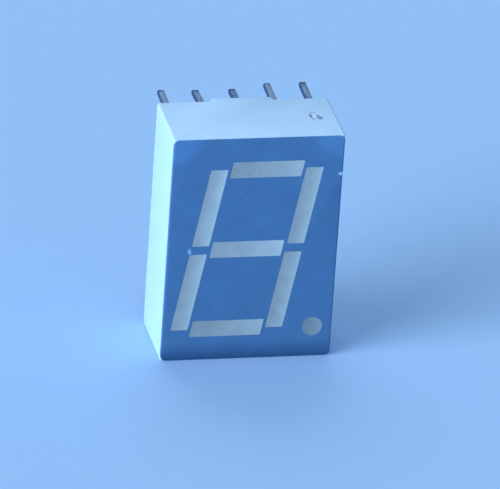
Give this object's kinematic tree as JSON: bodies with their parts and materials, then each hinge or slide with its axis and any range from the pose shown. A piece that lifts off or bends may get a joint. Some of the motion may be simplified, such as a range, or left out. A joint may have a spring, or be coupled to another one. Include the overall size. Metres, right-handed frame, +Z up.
{
  "type": "seven segment display",
  "caption": "Upright light-emitting digit display in a white moulded housing, with a printed face, leaning segments, a decimal point and rows of through-hole leads behind.",
  "frame": {"origin": "middle of the lower end of the housing, halfway between the printed face and the rear rim", "axes": "+X to the viewer's right across the face, +Y from the printed face back along the leads, +Z up the digit"},
  "size_m": [0.0122, 0.0104, 0.0172],
  "materials": {
    "housing_plastic": "fine satin, moulded, pale blue-white",
    "face_ink": "even screen-printed ink, matt, mid blue, faintly scratched",
    "light_resin": "milky diffusing cast resin, level with the ink, satin",
    "die_crystal": "sawn crystal",
    "bond_gold": "bright drawn wire",
    "board_laminate": "glass-filled laminate",
    "board_copper": "etched copper foil",
    "lead_tin": "tinned, dulled and slightly tarnished",
    "solder": "satin solder",
    "seal_resin": "cast resin, pale and slightly glossy, drawn up a little round the leads"
  },
  "bodies": {
    "root": {"housing": "housing_plastic", "face_print": "face_ink", "light_guide_a": "light_resin", "light_guide_b": "light_resin", "light_guide_c": "light_resin", "light_guide_d": "light_resin", "light_guide_e": "light_resin", "light_guide_f": "light_resin", "light_guide_g": "light_resin", "light_guide_point": "light_resin", "die_a": "die_crystal", "die_b": "die_crystal", "die_c": "die_crystal", "die_d": "die_crystal", "die_e": "die_crystal", "die_f": "die_crystal", "die_g": "die_crystal", "die_point": "die_crystal", "bond_wire_a": "bond_gold", "bond_wire_b": "bond_gold", "bond_wire_c": "bond_gold", "bond_wire_d": "bond_gold", "bond_wire_e": "bond_gold", "bond_wire_f": "bond_gold", "bond_wire_g": "bond_gold", "bond_wire_point": "bond_gold", "circuit_board": "board_laminate", "board_copper": "board_copper", "lead_1": "lead_tin", "lead_2": "lead_tin", "lead_3": "lead_tin", "lead_4": "lead_tin", "lead_5": "lead_tin", "lead_6": "lead_tin", "lead_7": "lead_tin", "lead_8": "lead_tin", "lead_9": "lead_tin", "lead_10": "lead_tin", "solder_joints": "solder", "back_seal": "seal_resin"}
  },
  "joints": []
}
